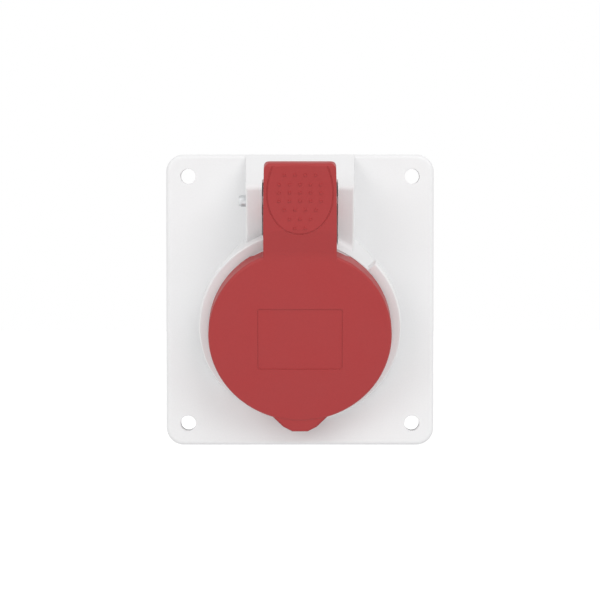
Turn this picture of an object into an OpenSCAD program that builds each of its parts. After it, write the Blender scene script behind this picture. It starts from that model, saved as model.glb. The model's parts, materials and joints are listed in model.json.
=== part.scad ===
// Industrial panel socket: a tilted round socket on a square flange, with a sprung hinged lid.
// The panel plane is y = 0 and the socket faces -Y. X is to the right and Z is up.

/* [Flange] */
// Width of the flange
flange_w = 92; // [90:0.5:96]
// Height of the flange
flange_h = 100; // [98:0.5:104]
// Thickness of the flange
flange_t = 4; // [3.5:0.1:5]
// Radius of the flange's four corners
flange_corner_r = 6; // [4:0.5:7]
// Radius of the rounded front edge
flange_edge_r = 1.4; // [0.8:0.1:1.8]
// Distance between the fixing holes across
hole_pitch_x = 77; // [76:0.5:78]
// Distance between the fixing holes upwards
hole_pitch_z = 85; // [84:0.5:86]
// Diameter of the fixing holes
hole_d = 5.2; // [4.5:0.1:5.5]
// Thickness of the rubber gasket behind the flange
gasket_t = 2; // [1.5:0.1:3]

/* [Socket axis] */
// Angle at which the socket looks down
tilt = 18; // [16:0.5:20]
// Distance of the collar's centre below the middle of the flange
axis_drop = 9; // [8:0.1:10]
// Distance of the collar's front face in front of the flange, on the axis
axis_stand = 12.5; // [12:0.1:14]

/* [Collar and mouth] */
// Radius of the collar tube
tube_r = 31; // [30.5:0.1:31.5]
// Outer radius of the bayonet rim
rim_r = 34.4; // [34:0.1:35]
// Thickness of the bayonet rim
rim_t = 4.1; // [3:0.1:5]
// Angle at which the first rim segment starts
rim_from = -76; // [-80:1:-70]
// Angle that each of the two rim segments covers
rim_span = 118; // [110:1:122]
// Radius of the mouth that takes the plug's shroud
mouth_r = 26.2; // [26:0.1:26.5]
// Outer radius of the sealing lip
lip_r = 28.2; // [28:0.1:28.4]

/* [Lid] */
// Radius of the lid
lid_r = 30.9; // [30.5:0.1:31]
// Height of the lid's straight side
lid_side = 5.4; // [5:0.1:6]
// Rise of the lid's domed face
lid_dome = 0.7; // [0.4:0.1:1]
// Width of the bare label panel
label_w = 28.8; // [26:0.1:30]
// Height of the bare label panel
label_h = 21.8; // [20:0.1:23]
// Width of the lid's arm and thumb lever
arm_w = 24.6; // [24:0.1:25]
// Height of the lever's top end above the axis
lever_top = 62.3; // [60:0.1:63]
// Diameter of the grip dots
dot_d = 1.1; // [0.8:0.1:1.4]

/* [Hinge] */
// Width of the hinge block
block_w = 36.6; // [36:0.1:37]
// Width of the slot between the hinge ears
slot_w = 25.6; // [25.2:0.1:26]
// Diameter of the hinge pin
pin_d = 4; // [3.8:0.1:4.2]
// Length of the hinge pin
pin_l = 38.2; // [37:0.1:38.5]
// Distance by which the pin stands out of the left ear
pin_proud = 2.4; // [1.5:0.1:2.6]

/* [Contacts] */
// Radius of the circle on which the contacts stand
contact_circle_r = 12; // [11.5:0.1:12.5]
// Diameter of the phase pins that the sleeves take
phase_pin_d = 5; // [5:0.1:5]
// Diameter of the earth pin
earth_pin_d = 6; // [6:0.1:6]
// Radius of the carrier's front boss, inside the plug's shroud
boss_r = 21; // [20.5:0.1:21.2]

/* [Hidden] */
$fn = 96;
eps = 0.01;

flange_front = gasket_t + flange_t;

// Heights along the socket axis, zero at the front of the bayonet rim
tube_front = 1.2;
lip_front = 3.6;
lid_back = 1.9;
lid_edge_r = 1;
lid_face = lid_back + lid_side + lid_edge_r;
lid_under = 5.9;
lid_wall = 1.8;
recess_floor = -30;
tube_end = -38;
base_end = -41;
back_end = -55;

// Hinge pin, in the plane across the socket axis and along it
pin_y = 42;
pin_z = -10.5;
knuckle_r = 5;
knuckle_gap = 1.2;
knuckle_w = 4.1;
pin_play = 0.1;
press_play = 0.02;
slot_back = pin_z - 2;

// Hinge block, seen from the side
flange_overlap = 1;
block_face = -6.5;
block_top_y = 48.3;
block_edge_r = 1.8;
ear_fillet_r = 2;

// Lever, with a dished thumb rest that reaches further up than down
arm_front = 10.2;
arm_back = 6.4;
thumb_y = 50.8;
thumb_half_w = 10.8;
thumb_low = 13.2;
thumb_high = 17.2;
thumb_depth = 0.5;
dot_rows = [[39.2, 2], [42.3, 3], [45.6, 4], [48.75, 5], [51.8, 5], [54.8, 5], [58.3, 4]];
dot_pitch = 3.5;
dot_root = 0.5;
dot_rise = 0.35;

// Torsion spring on the hinge pin
spring_wire_r = 0.55;
spring_r = 3.1;
spring_turns = 7;
spring_pitch = 1.3;

// Plug keyway at the bottom of the mouth
key_w = 6;
key_depth = 2.6;
key_wall = 1.6;
key_end = -24;

// Carrier screws
lug_x = 31.2;
lug_r = 3.2;
pilot_r = 1.25;

contact_names = ["l1", "l2", "l3", "earth"];
contact_hours = [9, 12, 3, 6];
sleeve_front = -8;
sleeve_floor = -32;
sleeve_end = -41;
sleeve_wall = 1.5;
sleeve_play = 0.3;
collar_r = 19.4;
face_back = -7.95;
face_front = -3;
terminal_back = -52;

function pin_hole_r(i) = (i == 3 ? earth_pin_d : phase_pin_d) / 2 + 0.1;
function sleeve_r(i) = pin_hole_r(i) + sleeve_wall;
function arc(cx, cy, r, from, to, n) =
    [for (k = [0:n]) [cx + r * cos(from + (to - from) * k / n), cy + r * sin(from + (to - from) * k / n)]];
function dome(r, drop) = lid_face + lid_dome * (1 - pow(r / (lid_r - lid_edge_r), 2)) - drop;

// Stands its children on the socket axis: local Z looks out of the socket, local Y up across it
module on_axis() {
    translate([0, -flange_front - axis_stand, -axis_drop]) rotate([90 + tilt, 0, 0]) children();
}

// Stands its children on the panel: local Z looks forwards, local Y upwards
module on_panel(forward) {
    translate([0, -forward, 0]) rotate([90, 0, 0]) children();
}

// Extrudes a side view, drawn as [height, distance along the axis], across the socket
module across(width, from) {
    translate([from, 0, 0]) rotate([90, 0, 90]) linear_extrude(width) children();
}

module rounded_rect(w, h, r) {
    square([w - 2 * r, h], center = true);
    square([w, h - 2 * r], center = true);
    for (x = [-1, 1], y = [-1, 1]) translate([x * (w / 2 - r), y * (h / 2 - r)]) circle(r, $fn = 48);
}

// A rounded plate with a true quarter-round along its front edge
module soft_plate(w, h, t, corner_r, edge_r) {
    linear_extrude(t - edge_r) rounded_rect(w, h, corner_r);
    linear_extrude(t) rounded_rect(w - 2 * edge_r, h - 2 * edge_r, corner_r - edge_r);
    for (s = [-1, 1]) {
        translate([-(w / 2 - corner_r), s * (h / 2 - edge_r), t - edge_r])
            rotate([0, 90, 0]) cylinder(r = edge_r, h = w - 2 * corner_r, $fn = 48);
        translate([s * (w / 2 - edge_r), h / 2 - corner_r, t - edge_r])
            rotate([90, 0, 0]) cylinder(r = edge_r, h = h - 2 * corner_r, $fn = 48);
    }
    for (x = [-1, 1], y = [-1, 1]) translate([x * (w / 2 - corner_r), y * (h / 2 - corner_r), t - edge_r])
        rotate_extrude($fn = 48) translate([corner_r - edge_r, 0]) circle(edge_r, $fn = 48);
}

module fixing_holes(r, from, to) {
    for (x = [-1, 1], z = [-1, 1]) translate([x * hole_pitch_x / 2, -from, z * hole_pitch_z / 2])
        rotate([90, 0, 0]) cylinder(r = r, h = to - from, $fn = 48);
}

// Side view of the hinge block, from the flange to its leaning front face
module block_side() {
    polygon(concat(
        [[24, -26], [24, block_face]],
        arc(block_top_y - block_edge_r, block_face - block_edge_r, block_edge_r, 90, 8, 8),
        [[51.85, -31]]
    ));
}

module hinge_block() {
    intersection() {
        across(block_w + 2, -block_w / 2 - 1) block_side();
        translate([0, 20, 0]) rotate([-90, 0, 0]) linear_extrude(40) polygon(concat(
            arc(block_w / 2 - 0.6, -block_face + 0.6, 0.6, -90, 0, 4),
            [[block_w / 2 + 0.5, 40], [-block_w / 2 - 0.5, 40]],
            arc(-block_w / 2 + 0.6, -block_face + 0.6, 0.6, 180, 270, 4)
        ));
    }
}

module hinge_slot() {
    across(slot_w, -slot_w / 2) {
        translate([pin_y, pin_z]) circle(knuckle_r + knuckle_gap, $fn = 64);
        translate([20, slot_back]) square([40, 30]);
    }
}

// Soft fillets where the front faces of the ears meet the tube
module ear_fillets() {
    ear_w = (block_w - slot_w) / 2 - 0.5;
    intersection() {
        rotate_extrude() polygon(concat(
            [[tube_r - 1, block_face - 0.5], [tube_r + ear_fillet_r, block_face - 0.5]],
            arc(tube_r + ear_fillet_r, block_face + ear_fillet_r, ear_fillet_r, 270, 180, 6),
            [[tube_r - 1, block_face + ear_fillet_r]]
        ));
        for (s = [-1, 1]) translate([s * (slot_w + ear_w) / 2, 30, block_face])
            cube([ear_w, 20, 10], center = true);
    }
}

module bayonet_rim() {
    for (turn = [0, 180]) rotate(rim_from + turn) rotate_extrude(angle = rim_span) polygon([
        [tube_r - 1, -rim_t], [rim_r - 0.4, -rim_t], [rim_r, -rim_t + 0.4],
        [rim_r, -0.4], [rim_r - 0.4, 0], [tube_r - 1, 0]
    ]);
}

module housing() {
    color([0.93, 0.93, 0.94]) difference() {
        union() {
            on_panel(gasket_t) soft_plate(flange_w, flange_h, flange_t, flange_corner_r, flange_edge_r);
            difference() {
                on_axis() union() {
                    difference() {
                        hinge_block();
                        hinge_slot();
                    }
                    translate([0, 0, -36]) cylinder(r = tube_r, h = 36 + tube_front - 0.5);
                    translate([0, 0, tube_front - 0.5]) cylinder(r1 = tube_r, r2 = tube_r - 0.5, h = 0.5);
                    bayonet_rim();
                    ear_fillets();
                }
                translate([0, 50 - flange_front + flange_overlap, 0]) cube([200, 100, 200], center = true);
            }
            on_axis() {
                translate([0, 0, tube_end]) cylinder(r = 29.4, h = 30);
                translate([0, 0, -10]) cylinder(r = lip_r, h = 10 + lip_front - 0.5);
                translate([0, 0, lip_front - 0.5]) cylinder(r1 = lip_r, r2 = lip_r - 0.5, h = 0.5);
                translate([-key_w / 2 - key_wall, -mouth_r - key_depth - key_wall, key_end - 2])
                    cube([key_w + 2 * key_wall, 8, lip_front - key_end + 2]);
                for (x = [-lug_x, lug_x]) {
                    translate([x, 0, tube_end]) cylinder(r = lug_r, h = 20, $fn = 48);
                    translate([min(x, 0.88 * x), -2.4, tube_end]) cube([abs(0.12 * x), 4.8, 18]);
                }
            }
        }
        on_axis() {
            translate([0, 0, recess_floor - 1]) cylinder(r = mouth_r, h = 50);
            translate([0, 0, lip_front - 0.8])
                cylinder(r1 = mouth_r, r2 = mouth_r + 0.8 + eps, h = 0.8 + eps);
            translate([0, 0, tube_end - 1]) cylinder(r = 26.9, h = recess_floor - tube_end + 1);
            translate([-key_w / 2, -mouth_r - key_depth, key_end]) cube([key_w, 10, 40]);
            translate([-30, pin_y, pin_z]) rotate([0, 90, 0])
                cylinder(r = pin_d / 2 + press_play, h = 60, $fn = 48);
            for (x = [-lug_x, lug_x]) translate([x, 0, tube_end - 1])
                cylinder(r = pilot_r, h = 13, $fn = 32);
        }
        fixing_holes(hole_d / 2, 0, flange_front + 1);
        // Cored-out back of the hinge block
        translate([-14, -11.5, 29]) cube([28, 11.5, 17]);
    }
}

module flange_gasket() {
    color([0.2, 0.2, 0.21]) difference() {
        on_panel(0) linear_extrude(gasket_t)
            rounded_rect(flange_w - 1.6, flange_h - 1.6, flange_corner_r - 0.8);
        translate([0, 1, -3.4]) rotate([90, 0, 0]) cylinder(r = 36.4, h = gasket_t + 2);
        fixing_holes(hole_d / 2, -1, gasket_t + 1);
    }
}

// Slotted spring pin, rolled from steel strip, with its slot facing forwards
module hinge_pin() {
    start = -block_w / 2 - pin_proud;
    color([0.75, 0.76, 0.77]) on_axis() translate([start, pin_y, pin_z]) rotate([0, 90, 0]) difference() {
        union() {
            cylinder(r1 = pin_d / 2 - 0.4, r2 = pin_d / 2, h = 0.8, $fn = 48);
            translate([0, 0, 0.8]) cylinder(r = pin_d / 2, h = pin_l - 1.6, $fn = 48);
            translate([0, 0, pin_l - 0.8]) cylinder(r1 = pin_d / 2, r2 = pin_d / 2 - 0.4, h = 0.8, $fn = 48);
        }
        translate([0, 0, -1]) cylinder(r = pin_d / 2 - 0.8, h = pin_l + 2, $fn = 48);
        rotate(-108) translate([0, -0.35, -1]) cube([pin_d, 0.7, pin_l + 2]);
    }
}

// Torsion spring on the pin: a wound coil, a leg on the block and a leg behind the lever
function coil_point(a) = [
    spring_pitch * a / 360 - spring_pitch * spring_turns / 2,
    pin_y + spring_r * cos(a), pin_z + spring_r * sin(a)
];
function unit(v) = v / norm(v);
function ring_at(p, ahead, sides) =
    let (side = [1, 0, 0], out = unit(cross(ahead, side)))
    [for (k = [0:sides - 1]) p + spring_wire_r * (cos(360 * k / sides) * out + sin(360 * k / sides) * side)];
module wire(points, sides) {
    last = len(points) - 1;
    rings = [for (i = [0:last])
        ring_at(points[i], points[min(i + 1, last)] - points[max(i - 1, 0)], sides)];
    polyhedron(
        points = [for (r = rings) each r],
        faces = concat(
            [[for (k = [0:sides - 1]) k]],
            [for (i = [0:last - 1], k = [0:sides - 1]) [
                i * sides + k, (i + 1) * sides + k,
                (i + 1) * sides + (k + 1) % sides, i * sides + (k + 1) % sides
            ]],
            [[for (k = [sides - 1:-1:0]) last * sides + k]]
        )
    );
}
module lid_spring() {
    coil = [for (a = [0:20:360 * spring_turns]) coil_point(a)];
    from_block = [[0, 3.1, -1.4], [0, 0.9, -1.4], [0, 0.26, -1.14], [0, 0, -0.5]];
    to_lever = [[0, 0.5, 6], [0, 1.9, 13.4], [0, 2.6, 15.3], [0, 3.9, 16.2], [0, 6.2, 16.3]];
    color([0.7, 0.71, 0.72]) on_axis() wire(concat(
        [for (p = from_block) coil[0] + p], coil, [for (p = to_lever) coil[len(coil) - 1] + p]
    ), 8);
}

// Outline of the lid's lower tab, drawn in by an inset where its edge is bevelled
module lid_tab(inset) {
    polygon([
        [-10, -24], [-10 + inset, -28.67 + inset], [-5.7 + inset, -33.3 + inset], [-2.6, -35 + inset],
        [2.6, -35 + inset], [5.7 - inset, -33.3 + inset], [10 - inset, -28.67 + inset], [10, -24]
    ]);
}

module lid_disc() {
    rotate_extrude() polygon(concat(
        [[0, lid_under], [lid_r - lid_wall, lid_under], [lid_r - lid_wall, lid_back + 0.3],
         [lid_r - lid_wall + 0.3, lid_back], [lid_r - 0.3, lid_back], [lid_r, lid_back + 0.3]],
        arc(lid_r - lid_edge_r, lid_face - lid_edge_r, lid_edge_r, 0, 90, 6),
        [for (k = [7:-1:0]) [(lid_r - lid_edge_r) * k / 8, dome((lid_r - lid_edge_r) * k / 8, 0)]]
    ));
}

// Side view of the arm: from the lid's face, over the crease and ramp, to the top of the lever
module arm_side() {
    polygon(concat(
        [[22, lid_under], [22, lid_face - 0.1], [29.2, lid_face + 0.1], [30.4, lid_face + 0.3],
         [36, arm_front - 0.5], [38.4, arm_front]],
        arc(lever_top - 1.3, arm_front - 1.3, 1.3, 90, 0, 6),
        [[lever_top, arm_back + 0.6], [lever_top - 0.6, arm_back], [36, arm_back], [33, lid_under]]
    ));
}

module arm_front_view() {
    translate([-arm_w / 2, 20]) square([arm_w, lever_top - 22]);
    translate([-arm_w / 2 + 2, 20]) square([arm_w - 4, lever_top - 20]);
    for (s = [-1, 1]) translate([s * (arm_w / 2 - 2), lever_top - 2]) circle(2, $fn = 48);
}

// Dished thumb rest: a lens-shaped cut, wide and shallow
function thumb_reach(y) = y < thumb_y ? thumb_low : thumb_high;
function dish_depth(x, y) =
    thumb_depth * (1 - pow(x / thumb_half_w, 2) - pow((y - thumb_y) / thumb_reach(y), 2));
module thumb_dish() {
    across_r = thumb_half_w * thumb_half_w / 2 / thumb_depth;
    translate([0, thumb_y, arm_front - thumb_depth + across_r]) rotate([-90, 0, 0]) rotate(90 - 8)
        rotate_extrude(angle = 16, $fn = 720) polygon(concat(
            [for (k = [-8:-1]) [across_r - thumb_depth * k * k / 64, thumb_low * k / 8]],
            [for (k = [0:8]) [across_r - thumb_depth * k * k / 64, thumb_high * k / 8]],
            [[across_r - thumb_depth - 2, thumb_high], [across_r - thumb_depth - 2, -thumb_low]]
        ));
}

module grip_dots() {
    for (row = dot_rows, k = [0:row[1] - 1]) {
        x = (k - (row[1] - 1) / 2) * dot_pitch;
        translate([x, row[0], arm_front - dish_depth(x, row[0]) - dot_root])
            cylinder(d1 = dot_d + 0.4, d2 = dot_d - 0.4, h = dot_root + dot_rise, $fn = 24);
    }
}

module lid() {
    color([0.68, 0.27, 0.27]) on_axis() difference() {
        union() {
            difference() {
                union() {
                    lid_disc();
                    translate([0, 0, lid_back]) linear_extrude(lid_face - 0.8 - lid_back) lid_tab(0);
                    translate([0, 0, lid_back]) linear_extrude(lid_face - 0.3 - lid_back) lid_tab(0.4);
                    intersection() {
                        across(arm_w, -arm_w / 2) arm_side();
                        linear_extrude(30) arm_front_view();
                    }
                }
                thumb_dish();
                // Hollow of the lid, and of the tab that opens into it
                translate([0, 0, lid_back - 1])
                    cylinder(r = lid_r - lid_wall, h = lid_under - lid_back + 1);
                translate([0, 0, lid_back - 1]) linear_extrude(lid_under - lid_back + 1)
                    polygon([
                        [-7.9, -27], [-7.9, -28.3], [-4.6, -31.8], [-2.15, -33.1],
                        [2.15, -33.1], [4.6, -31.8], [7.9, -28.3], [7.9, -27]
                    ]);
                // Bare label panel, sunk evenly below the domed face
                intersection() {
                    translate([0, -0.9, lid_face - 2]) linear_extrude(5) rounded_rect(label_w, label_h, 1);
                    rotate_extrude() polygon(concat(
                        [for (k = [0:8]) [3 * k, dome(3 * k, 0.25)]], [[24, 12], [0, 12]]
                    ));
                }
            }
            grip_dots();
            for (s = [-1, 1]) across(knuckle_w, s > 0 ? arm_w / 2 - knuckle_w : -arm_w / 2) {
                translate([pin_y, pin_z]) circle(knuckle_r, $fn = 64);
                polygon([
                    [pin_y - knuckle_r, pin_z], [36, arm_back + eps], [48, arm_back + eps],
                    [pin_y + 1.6, -2], [pin_y + 1.6, pin_z]
                ]);
            }
            rotate_extrude() polygon([
                [24.2, lid_under + eps], [24.2, 4.4], [25, 4.4], [25, lid_under + eps]
            ]);
        }
        translate([-20, pin_y, pin_z]) rotate([0, 90, 0])
            cylinder(r = pin_d / 2 + pin_play, h = 40, $fn = 48);
    }
}

module lid_gasket() {
    color([0.16, 0.16, 0.17]) on_axis() rotate_extrude() polygon([
        [25.1, lid_under], [25.1, 4.4], [25.8, 3.65], [28.2, 3.65], [28.9, 4.4], [28.9, lid_under]
    ]);
}

module at_contact(i) {
    rotate(90 - 30 * contact_hours[i]) translate([contact_circle_r, 0, 0]) children();
}

// Block that holds the four contacts, each laid into a slot that is open to the outside
module contact_carrier() {
    color([0.27, 0.28, 0.3]) on_axis() difference() {
        translate([0, 0, base_end]) cylinder(r = collar_r - 0.05, h = face_back - base_end);
        for (i = [0:3]) at_contact(i) {
            slot_half = sleeve_r(i) + sleeve_play;
            translate([-slot_half, -slot_half, base_end - 1])
                cube([20, 2 * slot_half, face_back - base_end + 2]);
        }
        translate([0, 0, base_end - 1]) cylinder(r = 1.3, h = 12, $fn = 32);
    }
}

// Round face with the four pin holes, which closes the front of the block
module carrier_face() {
    color([0.27, 0.28, 0.3]) on_axis() difference() {
        union() {
            translate([0, 0, face_back]) cylinder(r = boss_r, h = face_front - 0.6 - face_back);
            translate([0, 0, face_front - 0.6]) cylinder(r1 = boss_r, r2 = boss_r - 0.6, h = 0.6);
        }
        for (i = [0:3]) at_contact(i) {
            translate([0, 0, face_back - 1]) cylinder(r = pin_hole_r(i), h = 10, $fn = 48);
            translate([0, 0, face_front - 0.8])
                cylinder(r1 = pin_hole_r(i), r2 = pin_hole_r(i) + 0.9, h = 0.9, $fn = 48);
        }
    }
}

// Ring with two lugs that screws to the back of the tube, and the inner collar around the block
module carrier_ring() {
    color([0.27, 0.28, 0.3]) on_axis() difference() {
        union() {
            translate([0, 0, tube_end]) cylinder(r = 26.7, h = recess_floor - tube_end);
            translate([0, 0, base_end]) cylinder(r = 29.2, h = tube_end - base_end);
            translate([0, 0, base_end]) cylinder(r = boss_r, h = face_back - base_end);
            for (x = [-lug_x, lug_x]) translate([x, 0, base_end])
                cylinder(r = lug_r + 0.2, h = tube_end - base_end, $fn = 48);
        }
        translate([0, 0, base_end - 1]) cylinder(r = collar_r, h = 40);
        for (x = [-lug_x, lug_x]) translate([x, 0, base_end - 1]) cylinder(r = 1.7, h = 10, $fn = 32);
    }
}

module carrier_back() {
    color([0.3, 0.31, 0.33]) on_axis() difference() {
        union() {
            translate([0, 0, back_end + 1]) cylinder(r = 23.4, h = base_end - back_end - 1);
            translate([0, 0, back_end]) cylinder(r1 = 22.4, r2 = 23.4, h = 1);
        }
        for (i = [0:3]) at_contact(i) {
            translate([-5, -5, terminal_back - 0.3]) cube([20, 10, base_end - terminal_back + 1.3]);
            translate([0, 0, back_end - 1]) cylinder(r1 = 4, r2 = 2.8, h = 4.5, $fn = 48);
        }
        translate([0, 0, back_end - 1]) cylinder(r = 1.7, h = 20, $fn = 32);
        translate([0, 0, back_end - 1]) cylinder(r = 3.2, h = 3, $fn = 48);
    }
}

// Cheese-head screw with a cross recess, head at the top, driven along -Z
module screw(head_r, head_h, shank_r, shank_l) {
    difference() {
        union() {
            cylinder(r = head_r, h = head_h - 0.3, $fn = 48);
            translate([0, 0, head_h - 0.3]) cylinder(r1 = head_r, r2 = head_r - 0.3, h = 0.3, $fn = 48);
            translate([0, 0, -shank_l]) cylinder(r = shank_r, h = shank_l + eps, $fn = 32);
        }
        for (a = [0, 90]) rotate(a)
            translate([-head_r * 0.62, -0.35, head_h * 0.45]) cube([head_r * 1.24, 0.7, head_h]);
    }
}

module back_screw() {
    color([0.74, 0.75, 0.76]) on_axis() translate([0, 0, back_end + 2]) rotate([180, 0, 0])
        screw(2.8, 1.8, 1.25, 20);
}

module carrier_screw(x) {
    color([0.74, 0.75, 0.76]) on_axis() translate([x, 0, base_end]) rotate([180, 0, 0])
        screw(2.9, 2.2, 1.2, 13);
}
module carrier_screw_left() { carrier_screw(-lug_x); }
module carrier_screw_right() { carrier_screw(lug_x); }

// Turned brass sleeve with a split mouth, and the terminal block on its tail
module contact(i) {
    color([0.78, 0.62, 0.3]) on_axis() at_contact(i) difference() {
        union() {
            translate([0, 0, sleeve_end - 1])
                cylinder(r = sleeve_r(i), h = sleeve_front - sleeve_end + 1, $fn = 48);
            translate([-4.2, -4.2, terminal_back]) cube([8.4, 8.4, sleeve_end - terminal_back - 0.05]);
        }
        translate([0, 0, sleeve_floor]) cylinder(r = pin_hole_r(i), h = 40, $fn = 48);
        translate([-5, -0.4, sleeve_front - 17]) cube([10, 0.8, 20]);
        translate([0, 0, sleeve_front - 6]) difference() {
            cylinder(r = sleeve_r(i) + 1, h = 2.4, $fn = 48);
            translate([0, 0, -1]) cylinder(r = sleeve_r(i) - 0.5, h = 5, $fn = 48);
        }
        translate([0, 0, terminal_back - 1]) cylinder(r = 2.2, h = 10, $fn = 32);
        translate([0, 0, terminal_back + 5]) rotate([0, 90, 0]) cylinder(r = 1.65, h = 10, $fn = 32);
    }
}
module contact_l1() { contact(0); }
module contact_l2() { contact(1); }
module contact_l3() { contact(2); }
module contact_earth() { contact(3); }

// Open steel ring that grips the split mouth of a sleeve
module sleeve_spring(i) {
    color([0.72, 0.73, 0.75]) on_axis() at_contact(i) translate([0, 0, sleeve_front - 5.8])
        rotate(20) rotate_extrude(angle = 320, $fn = 48)
            translate([sleeve_r(i) - 0.45, 0]) square([0.6, 2]);
}
module sleeve_spring_l1() { sleeve_spring(0); }
module sleeve_spring_l2() { sleeve_spring(1); }
module sleeve_spring_l3() { sleeve_spring(2); }
module sleeve_spring_earth() { sleeve_spring(3); }

module terminal_screw(i) {
    color([0.75, 0.76, 0.77]) on_axis() at_contact(i) translate([5.4, 0, terminal_back + 5])
        rotate([0, 90, 0]) screw(2.7, 2.4, 1.55, 4.2);
}
module terminal_screw_l1() { terminal_screw(0); }
module terminal_screw_l2() { terminal_screw(1); }
module terminal_screw_l3() { terminal_screw(2); }
module terminal_screw_earth() { terminal_screw(3); }

// Square washer under a terminal screw's head
module clamp_plate(i) {
    color([0.7, 0.71, 0.73]) on_axis() at_contact(i) difference() {
        translate([4.3, -3.4, terminal_back + 1.6]) cube([1, 6.8, 6.8]);
        translate([0, 0, terminal_back + 5]) rotate([0, 90, 0]) cylinder(r = 1.7, h = 10, $fn = 32);
    }
}
module clamp_plate_l1() { clamp_plate(0); }
module clamp_plate_l2() { clamp_plate(1); }
module clamp_plate_l3() { clamp_plate(2); }
module clamp_plate_earth() { clamp_plate(3); }

housing();
flange_gasket();
hinge_pin();
lid_spring();
lid();
lid_gasket();
contact_carrier();
carrier_face();
carrier_ring();
carrier_back();
back_screw();
carrier_screw_left();
carrier_screw_right();
contact_l1();
contact_l2();
contact_l3();
contact_earth();
sleeve_spring_l1();
sleeve_spring_l2();
sleeve_spring_l3();
sleeve_spring_earth();
terminal_screw_l1();
terminal_screw_l2();
terminal_screw_l3();
terminal_screw_earth();
clamp_plate_l1();
clamp_plate_l2();
clamp_plate_l3();
clamp_plate_earth();
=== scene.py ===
import json
import math
import bmesh
import bpy
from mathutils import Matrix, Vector


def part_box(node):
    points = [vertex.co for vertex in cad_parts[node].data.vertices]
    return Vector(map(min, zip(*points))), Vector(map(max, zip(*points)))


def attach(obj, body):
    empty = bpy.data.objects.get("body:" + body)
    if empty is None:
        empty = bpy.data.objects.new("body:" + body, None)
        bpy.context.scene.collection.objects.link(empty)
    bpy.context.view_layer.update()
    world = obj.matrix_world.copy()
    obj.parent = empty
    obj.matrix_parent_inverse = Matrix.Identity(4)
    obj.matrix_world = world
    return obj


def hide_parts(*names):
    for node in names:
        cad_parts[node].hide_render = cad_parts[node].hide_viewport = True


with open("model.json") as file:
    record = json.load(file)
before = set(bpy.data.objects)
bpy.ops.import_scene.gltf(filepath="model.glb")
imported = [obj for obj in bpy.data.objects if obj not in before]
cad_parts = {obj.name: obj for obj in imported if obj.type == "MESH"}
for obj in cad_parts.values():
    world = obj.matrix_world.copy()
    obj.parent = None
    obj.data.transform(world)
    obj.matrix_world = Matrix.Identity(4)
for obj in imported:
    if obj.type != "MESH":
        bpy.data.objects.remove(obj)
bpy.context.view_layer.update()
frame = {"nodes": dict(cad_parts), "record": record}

# ---------------------------------------------------------------------------
# Housing
# One injection moulding in white glass-filled polyamide: the flange, the
# tilted collar with its bayonet rim, and the two hinge ears. It is screwed to
# the panel through the flange's four corner holes.
# ---------------------------------------------------------------------------

MM = 0.001
nodes = frame["nodes"]
mouth = next(m for m in frame["record"]["mounts"] if m["name"] == "plug_mouth")
out_of_mouth = Vector(mouth["axis"])
across_mouth = Vector((1, 0, 0))
up_mouth = out_of_mouth.cross(across_mouth)
lip_height = 3.6
rim_centre = Vector(mouth["pos_m"]) - lip_height * MM * out_of_mouth


def to_rim(point):
    """A point's place across, up and out from the middle of the rim's face, in mm."""
    way = (Vector(point) - rim_centre) / MM
    return way.dot(across_mouth), way.dot(up_mouth), way.dot(out_of_mouth)


def from_rim(x, up, out):
    return rim_centre + MM * (x * across_mouth + up * up_mouth + out * out_of_mouth)


def ease(value, low, high):
    """Rises smoothly from 0 at low to 1 at high."""
    t = min(1, max(0, (value - low) / (high - low)))
    return t * t * (3 - 2 * t)


def reshaped(node, name, move):
    """A copy of a moulding with each point moved by a rule. Its own shading stays."""
    mesh = nodes[node].data.copy()
    mesh.name = name
    for point in mesh.vertices:
        point.co = from_rim(*move(*to_rim(point.co)))
    piece = bpy.data.objects.new(name, mesh)
    bpy.context.scene.collection.objects.link(piece)
    return piece


def linked(tree, kind, inputs=None, **settings):
    """A shader node with its settings. Inputs hold plain values or another node's output."""
    made = tree.nodes.new(kind)
    for name, value in settings.items():
        setattr(made, name, value)
    for key, value in (inputs or {}).items():
        if isinstance(value, bpy.types.NodeSocket):
            tree.links.new(value, made.inputs[key])
        else:
            made.inputs[key].default_value = value
    return made


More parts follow.
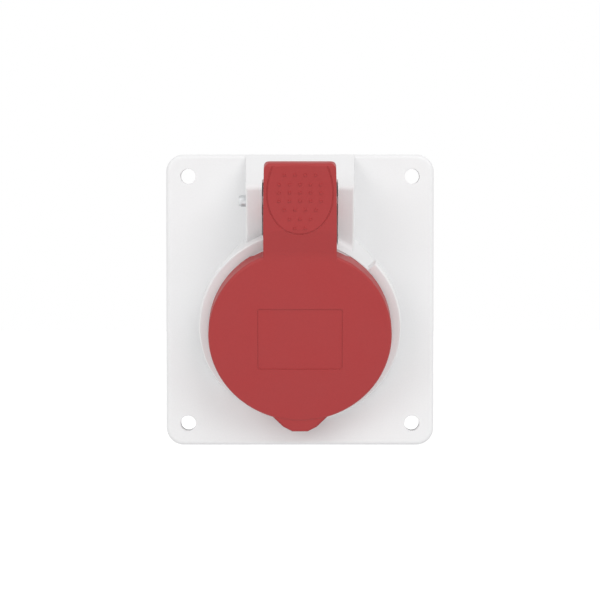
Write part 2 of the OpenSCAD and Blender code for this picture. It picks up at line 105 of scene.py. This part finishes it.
def finish(name, colour, worn, roughness, metallic=0.0, specular=0.5, mottle=0.03, cloud=9.0,
           speck=0.02, grain=0.25, grain_depth=0.004, lines=(1, 1, 1), edge=0.25, wear=0.6):
    """Mottled colour with fine specks, uneven gloss, a moulded or drawn grain and worn edges."""
    material = bpy.data.materials.new(name)
    material.use_nodes = True
    tree = material.node_tree
    shader = tree.nodes["Principled BSDF"]
    shader.inputs["Metallic"].default_value = metallic
    shader.inputs["Specular IOR Level"].default_value = specular
    place = linked(tree, "ShaderNodeTexCoord").outputs["Object"]
    drawn = linked(tree, "ShaderNodeMapping", {"Vector": place, "Scale": lines}).outputs[0]

    clouds = linked(tree, "ShaderNodeTexNoise", {"Vector": place, "Scale": 1 / (cloud * MM), "Detail": 4.0})
    specks = linked(tree, "ShaderNodeTexNoise", {"Vector": drawn, "Scale": 1 / (0.6 * MM), "Detail": 3.0})
    dark = (*[c * (1 - mottle) for c in colour], 1)
    light = (*[min(1, c * (1 + mottle)) for c in colour], 1)
    tone = linked(tree, "ShaderNodeMix", {0: clouds.outputs[0], 6: dark, 7: light}, data_type="RGBA")
    speckled = linked(tree, "ShaderNodeMapRange", {
        "Value": specks.outputs[0], "From Min": 0.35, "From Max": 0.65,
        "To Min": 1 - speck, "To Max": 1 + speck})
    toned = linked(tree, "ShaderNodeVectorMath", {0: tone.outputs[2]}, operation="SCALE")
    tree.links.new(speckled.outputs[0], toned.inputs["Scale"])

    # Edges are rubbed where the rounded normal leaves the true one
    rounded = linked(tree, "ShaderNodeBevel", {"Radius": edge * MM}, samples=4)
    true = linked(tree, "ShaderNodeNewGeometry").outputs["Normal"]
    meet = linked(tree, "ShaderNodeVectorMath", {0: rounded.outputs[0], 1: true}, operation="DOT_PRODUCT")
    rub = linked(tree, "ShaderNodeMapRange", {
        "Value": meet.outputs["Value"], "From Min": 0.995, "From Max": 0.86, "To Max": wear})
    patchy = linked(tree, "ShaderNodeMath", {0: rub.outputs[0], 1: clouds.outputs[0]}, operation="MULTIPLY")
    colour_out = linked(tree, "ShaderNodeMix", {
        0: patchy.outputs[0], 6: toned.outputs[0], 7: (*worn, 1)}, data_type="RGBA")
    tree.links.new(colour_out.outputs[2], shader.inputs["Base Color"])

    spread = 0.18 * roughness
    gloss = linked(tree, "ShaderNodeMapRange", {
        "Value": clouds.outputs[0], "From Min": 0.3, "From Max": 0.7,
        "To Min": roughness - spread, "To Max": roughness + spread})
    rubbed = linked(tree, "ShaderNodeMath", {
        0: patchy.outputs[0], 1: -0.5 * spread, 2: gloss.outputs[0]}, operation="MULTIPLY_ADD")
    tree.links.new(rubbed.outputs[0], shader.inputs["Roughness"])

    grains = linked(tree, "ShaderNodeTexNoise", {"Vector": drawn, "Scale": 1 / (grain * MM), "Detail": 2.0})
    bump = linked(tree, "ShaderNodeBump", {
        "Height": grains.outputs[0], "Distance": grain_depth * MM, "Normal": rounded.outputs[0]})
    tree.links.new(bump.outputs[0], shader.inputs["Normal"])
    return material


def give(name, material):
    """Gives a CAD piece its finish."""
    materials = nodes[name].data.materials
    materials.clear()
    materials.append(material)


# The end of the tube is drawn back flush with the rim, and the top of the
# ears stands a little higher
tube_inside, tube_outside = 28.3, 31.2
rim_chamfer = 0.03
ears_top, ears_back = 46, -12
ears_rise = 0.35


def housing_rule(x, up, out):
    reach = math.hypot(x, up)
    if out > rim_chamfer and tube_inside < reach < tube_outside:
        return x, up, rim_chamfer
    if ears_top < up and out > ears_back:
        return x, up + ears_rise, out
    return x, up, out


white_polyamide = finish(
    "white_polyamide", colour=(0.83, 0.83, 0.835), worn=(0.90, 0.90, 0.90), roughness=0.36,
    mottle=0.012, cloud=14.0, speck=0.008, grain=0.22, grain_depth=0.003, edge=0.22)
housing = reshaped("housing", "housing_moulding", housing_rule)
housing.data.materials.clear()
housing.data.materials.append(white_polyamide)
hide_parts("housing")
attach(housing, "housing")

# ---------------------------------------------------------------------------
# Flange gasket
# A flat black rubber sheet, die-cut to the flange's outline and its holes. The
# screws squeeze it between the flange and the panel.
# ---------------------------------------------------------------------------
black_rubber = finish(
    "black_rubber", colour=(0.030, 0.030, 0.032), worn=(0.07, 0.07, 0.07), roughness=0.72,
    mottle=0.15, cloud=4.0, speck=0.15, grain=0.35, grain_depth=0.012, edge=0.2)
give("flange_gasket", black_rubber)

# ---------------------------------------------------------------------------
# Lid
# One moulding in red polyamide: the domed cap with its bare label panel, the
# pull tab at the bottom, and the arm that becomes the dotted thumb lever. It
# turns on the hinge pin.
# ---------------------------------------------------------------------------
cap_radius, cap_wall = 30.9, 1.2
cap_play = 0.1
cap_grows = 0.15
cap_side_drop = 1.1
cap_top, cap_back, cap_inside = 26, 2.4, 24
lever_root, lever_top, lever_new_top = 45, 62.3, 61.6
lever_half = 12.3
lever_taper = 0.3
taper_from = 47


def lid_rule(x, up, out):
    reach = math.hypot(x, up)
    if up < cap_top and out > 0:
        if out < cap_back and reach > cap_inside:
            out -= cap_side_drop
        if cap_radius - cap_wall < reach < cap_radius + cap_play:
            grown = 1 + cap_grows / cap_radius
            x, up = x * grown, up * grown
    if up > lever_root:
        share = (lever_new_top - lever_root) / (lever_top - lever_root)
        up = lever_root + (up - lever_root) * share
        if out > 0:
            x *= 1 - lever_taper / lever_half * ease(up, taper_from, lever_new_top)
    return x, up, out


# The thumb rest is ringed by a fine engraved line that runs out near the top
rest_middle = 50.8
rest_half = 11.0
rest_low, rest_high = 13.9, 17.6
rest_face = 10.2
groove_radius = 0.3
groove_rise = 0.06
groove_start, groove_turn = 130, 280
face_bends, face_slope = 38.4, 0.208


def thumb_groove():
    """The cutter for the engraved line: a round wire that follows the oval."""
    wire = bmesh.new()
    steps, sides = 96, 10
    rings = []
    for k in range(steps + 1):
        turn = math.radians(groove_start + groove_turn * k / steps)
        rise = rest_high if math.sin(turn) > 0 else rest_low
        middle = Vector((rest_half * math.cos(turn), rest_middle + rise * math.sin(turn)))
        along = Vector((-rest_half * math.sin(turn), rise * math.cos(turn))).normalized()
        aside = Vector((along.y, -along.x))
        height = rest_face + groove_rise - face_slope * max(0, face_bends - middle.y)
        ring = []
        for s in range(sides):
            a = math.tau * s / sides
            spot = middle + groove_radius * math.cos(a) * aside
            ring.append(wire.verts.new(from_rim(spot.x, spot.y, height + groove_radius * math.sin(a))))
        rings.append(ring)
    for near, far in zip(rings, rings[1:]):
        for s in range(sides):
            wire.faces.new((near[s], near[(s + 1) % sides], far[(s + 1) % sides], far[s]))
    wire.faces.new(rings[0])
    wire.faces.new(reversed(rings[-1]))
    bmesh.ops.recalc_face_normals(wire, faces=wire.faces)
    mesh = bpy.data.meshes.new("thumb_groove")
    wire.to_mesh(mesh)
    wire.free()
    cutter = bpy.data.objects.new("thumb_groove", mesh)
    bpy.context.scene.collection.objects.link(cutter)
    return cutter


weld_gap = 0.0005


def welded(piece):
    """Joins the edges that the moulding's mesh leaves open at its corners."""
    shell = bmesh.new()
    shell.from_mesh(piece.data)
    bmesh.ops.remove_doubles(shell, verts=shell.verts, dist=weld_gap * MM)
    bmesh.ops.recalc_face_normals(shell, faces=shell.faces)
    shell.to_mesh(piece.data)
    shell.free()
    if "custom_normal" in piece.data.attributes:
        piece.data.attributes.remove(piece.data.attributes["custom_normal"])


def keep_flats(piece):
    """Lets the large faces set the shading, so that flat walls stay flat beside rounded edges."""
    even = piece.modifiers.new("keep_flats", "WEIGHTED_NORMAL")
    even.mode = "FACE_AREA"
    even.weight = 100
    even.keep_sharp = True


def cut(piece, cutter, sharp=22):
    """Cuts one closed form out of a piece and takes the cutter away."""
    modifier = piece.modifiers.new("cut", "BOOLEAN")
    modifier.operation = "DIFFERENCE"
    modifier.solver = "EXACT"
    modifier.object = cutter
    bpy.context.view_layer.update()
    graph = bpy.context.evaluated_depsgraph_get()
    done = bpy.data.meshes.new_from_object(piece.evaluated_get(graph))
    piece.modifiers.clear()
    piece.data = done
    for face in done.polygons:
        face.use_smooth = True
        face.material_index = 0
    done.set_sharp_from_angle(angle=math.radians(sharp))
    bpy.data.objects.remove(cutter, do_unlink=True)


red_polyamide = finish(
    "red_polyamide", colour=(0.388, 0.036, 0.037), worn=(0.50, 0.09, 0.09), roughness=0.42,
    specular=0.32, mottle=0.02, cloud=12.0, speck=0.02, grain=0.2, grain_depth=0.004, edge=0.14)
lid = reshaped("lid", "lid_moulding", lid_rule)
welded(lid)
cut(lid, thumb_groove())
lid.data.materials.clear()
lid.data.materials.append(red_polyamide)
keep_flats(lid)
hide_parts("lid")
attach(lid, "lid")

# ---------------------------------------------------------------------------
# Lid gasket
# A soft black rubber ring pressed into the lid's two ribs. It closes on the
# lip of the mouth and keeps spray out of the contacts.
# ---------------------------------------------------------------------------
give("lid_gasket", black_rubber)

# ---------------------------------------------------------------------------
# Hinge pin and lid spring
# The pin is a spring pin rolled from steel strip, driven through both ears.
# The spring is wound from drawn wire, sits on the pin and closes the lid.
# ---------------------------------------------------------------------------
rolled_steel = finish(
    "rolled_steel", colour=(0.56, 0.57, 0.58), worn=(0.75, 0.75, 0.76), roughness=0.36,
    metallic=1.0, mottle=0.08, cloud=3.0, speck=0.06, grain=0.12, grain_depth=0.004,
    lines=(0.15, 1, 1), edge=0.12)
drawn_wire = finish(
    "drawn_wire", colour=(0.50, 0.51, 0.53), worn=(0.68, 0.68, 0.70), roughness=0.30,
    metallic=1.0, mottle=0.10, cloud=2.0, speck=0.08, grain=0.10, grain_depth=0.003, edge=0.08)
give("hinge_pin", rolled_steel)
give("lid_spring", drawn_wire)

# ---------------------------------------------------------------------------
# Contact carrier
# Four mouldings in dark grey glass-filled polyamide: the block that holds the
# sleeves, its round face with the pin holes, the ring that screws to the tube,
# and the back cover with the terminal chambers.
# ---------------------------------------------------------------------------
grey_polyamide = finish(
    "grey_polyamide", colour=(0.085, 0.090, 0.098), worn=(0.16, 0.16, 0.17), roughness=0.50,
    mottle=0.06, cloud=6.0, speck=0.10, grain=0.25, grain_depth=0.006, edge=0.2)
for name in ("contact_carrier", "carrier_face", "carrier_ring", "carrier_back"):
    give(name, grey_polyamide)

# ---------------------------------------------------------------------------
# Screws
# Cheese-head steel screws with a cross recess, zinc plated. Two hold the ring
# to the tube, and one holds the back cover to the block.
# ---------------------------------------------------------------------------
zinc_plate = finish(
    "zinc_plate", colour=(0.66, 0.67, 0.70), worn=(0.80, 0.80, 0.82), roughness=0.30,
    metallic=1.0, mottle=0.07, cloud=1.6, speck=0.06, grain=0.10, grain_depth=0.004, edge=0.10)
for name in ("back_screw", "carrier_screw_left", "carrier_screw_right"):
    give(name, zinc_plate)

# ---------------------------------------------------------------------------
# Contacts and terminals
# Brass sleeves turned from bar, split at the mouth and gripped by an open
# steel ring. Each has a terminal screw with a square plate that clamps the wire.
# ---------------------------------------------------------------------------
turned_brass = finish(
    "turned_brass", colour=(0.72, 0.52, 0.21), worn=(0.85, 0.68, 0.36), roughness=0.28,
    metallic=1.0, mottle=0.08, cloud=3.0, speck=0.05, grain=0.12, grain_depth=0.004,
    lines=(0.3, 1, 1), edge=0.12)
for pole in ("l1", "l2", "l3", "earth"):
    give("contact_" + pole, turned_brass)
    give("sleeve_spring_" + pole, drawn_wire)
    give("terminal_screw_" + pole, zinc_plate)
    give("clamp_plate_" + pole, zinc_plate)

# ---------------------------------------------------------------------------
# Studio
# A plain white sweep under the part, an even white surround, a large softbox
# above on the right and a weaker one on the left.
# ---------------------------------------------------------------------------
scene = bpy.context.scene
scene.view_settings.view_transform = "Standard"


def seen_directly(tree):
    """1 where the camera, a mirror or a clear thing looks at the surround, else 0."""
    path = linked(tree, "ShaderNodeLightPath")
    either = linked(tree, "ShaderNodeMath", {
        0: path.outputs["Is Camera Ray"], 1: path.outputs["Is Glossy Ray"]}, operation="MAXIMUM")
    return linked(tree, "ShaderNodeMath", {
        0: either.outputs[0], 1: path.outputs["Is Transmission Ray"]}, operation="MAXIMUM").outputs[0]


room_light = 0.66
world = bpy.data.worlds.new("surround")
scene.world = world
world.use_nodes = True
tree = world.node_tree
background = tree.nodes["Background"]
background.inputs["Color"].default_value = (1, 1, 1, 1)
level = linked(tree, "ShaderNodeMapRange", {
    "Value": seen_directly(tree), "To Min": room_light, "To Max": 1.0})
tree.links.new(level.outputs[0], background.inputs["Strength"])

floor_half = 3.0
floor_gap = 0.10
floor_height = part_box("housing")[0][2] - floor_gap
corners = [(-1, -1), (1, -1), (1, 1), (-1, 1)]
floor_mesh = bpy.data.meshes.new("floor")
floor_mesh.from_pydata(
    [(floor_half * x, floor_half * y, floor_height) for x, y in corners], [], [(0, 1, 2, 3)])
floor = bpy.data.objects.new("floor", floor_mesh)
scene.collection.objects.link(floor)
pale_paper = bpy.data.materials.new("pale_paper")
pale_paper.use_nodes = True
tree = pale_paper.node_tree
shader = tree.nodes["Principled BSDF"]
shader.inputs["Base Color"].default_value = (0.84, 0.84, 0.84, 1)
shader.inputs["Roughness"].default_value = 0.9
shader.inputs["Emission Color"].default_value = (1, 1, 1, 1)
paper_lift = 0.5
lift = linked(tree, "ShaderNodeMath", {0: seen_directly(tree), 1: paper_lift}, operation="MULTIPLY")
tree.links.new(lift.outputs[0], shader.inputs["Emission Strength"])
floor_mesh.materials.append(pale_paper)


def aimed(made, place, target):
    made.location = place
    made.rotation_euler = (Vector(target) - Vector(place)).to_track_quat("-Z", "Y").to_euler()
    scene.collection.objects.link(made)


def softbox(name, place, width, power):
    lamp = bpy.data.lights.new(name, "AREA")
    lamp.shape = "SQUARE"
    lamp.size = width
    lamp.energy = power
    aimed(bpy.data.objects.new(name, lamp), place, (0, 0, 0))


softbox("key_softbox", (0.50, -0.80, 0.75), 0.8, 4.7)
softbox("fill_softbox", (-0.60, -0.85, 0.45), 0.6, 2.5)

lens = bpy.data.cameras.new("camera")
lens.sensor_width = 36
lens.lens = 192
camera = bpy.data.objects.new("camera", lens)
aimed(camera, (0, -1.106, 0.040), (0, -0.006, 0))
scene.camera = camera
